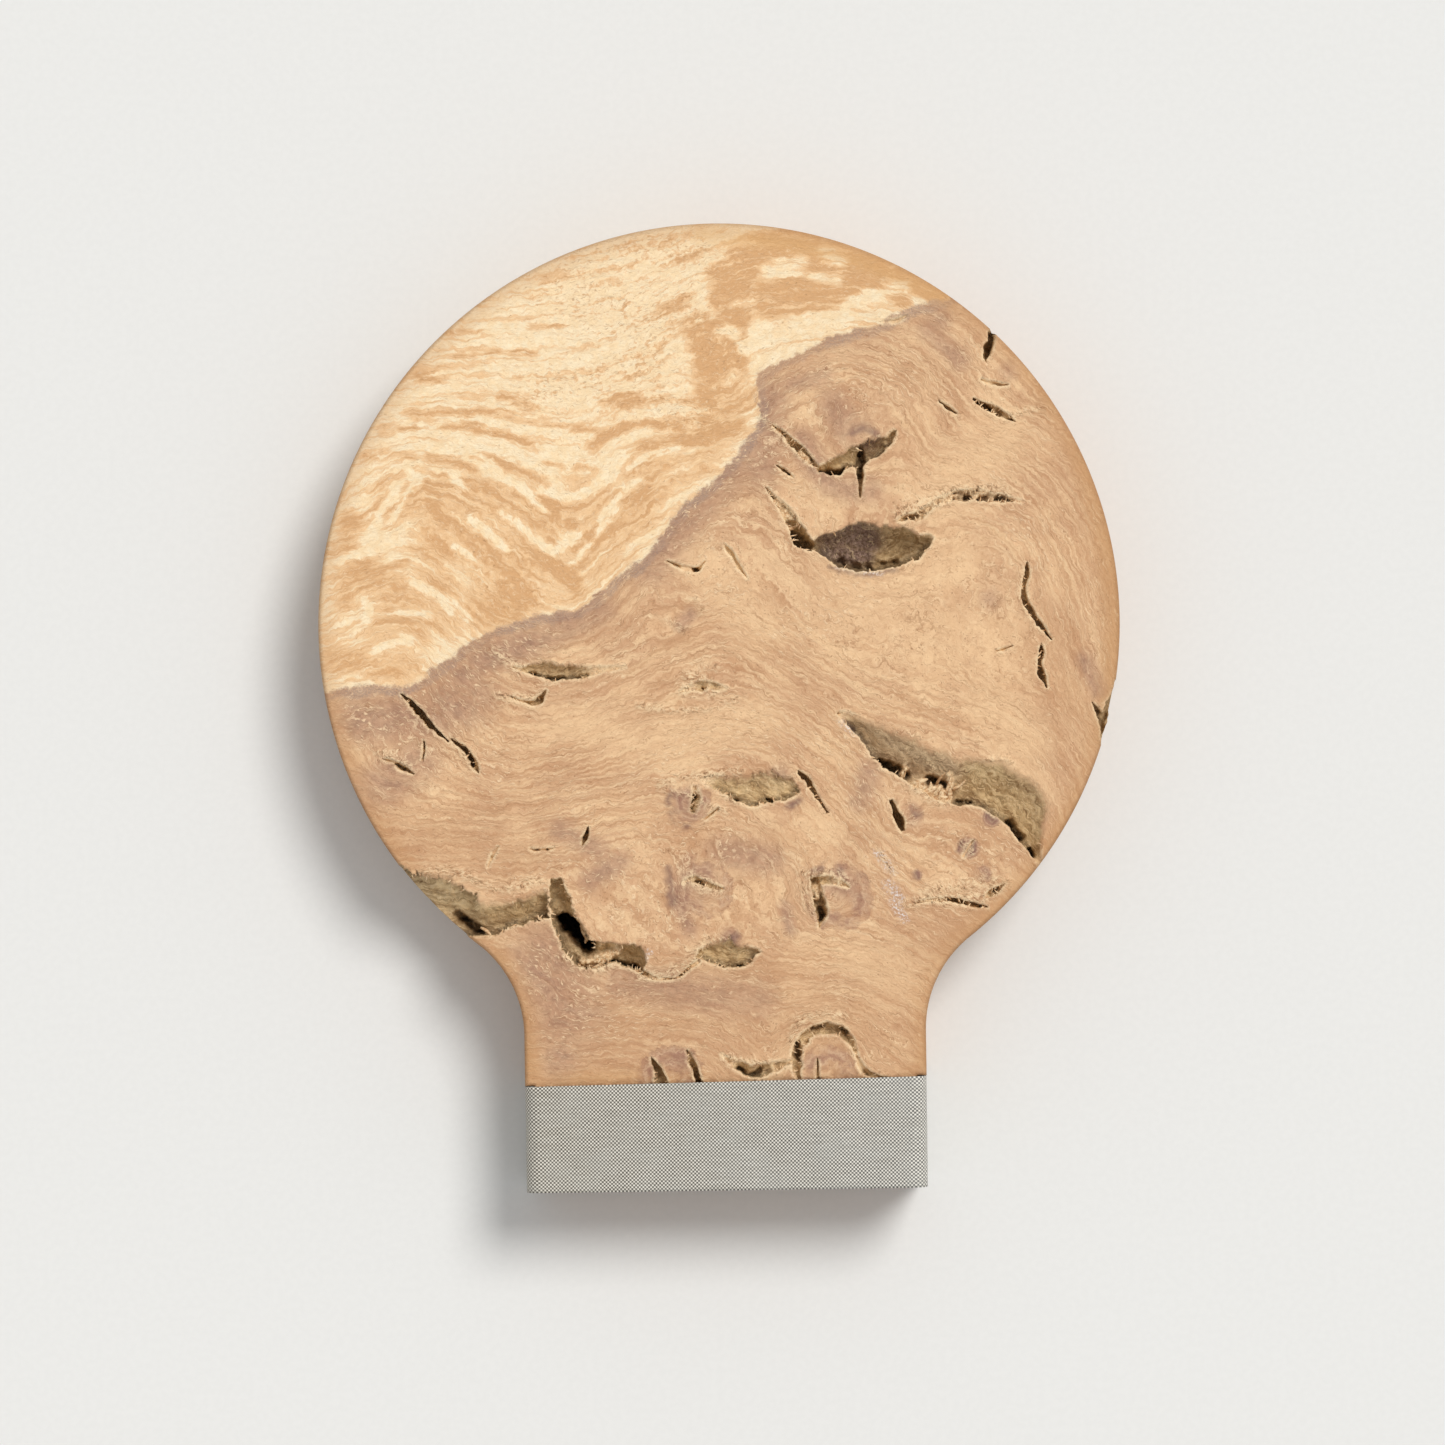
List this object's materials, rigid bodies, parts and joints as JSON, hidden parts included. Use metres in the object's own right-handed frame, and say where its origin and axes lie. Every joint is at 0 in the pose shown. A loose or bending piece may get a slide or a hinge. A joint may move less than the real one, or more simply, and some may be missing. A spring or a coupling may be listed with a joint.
{
  "type": "tree burl slab",
  "caption": "Flat slab of burl wood in a light bulb's outline, its open face full of bark pockets and cracks, with a woven cloth band round the foot.",
  "frame": {"origin": "under the middle of the whole part, on the plane of the back face that it lies on", "axes": "+X to the right and +Y from the foot to the top of the globe, seen from the cracked face; +Z out of the cracked face"},
  "size_m": [0.0802, 0.0966, 0.0126],
  "materials": {
    "burl_wood": "sanded flat and left dull, with rough grey-brown pockets",
    "woven_cloth": "fine plain weave set at 45 degrees, dull"
  },
  "bodies": {
    "root": {"burl_slab": "burl_wood", "cloth_band": "woven_cloth"}
  },
  "joints": []
}
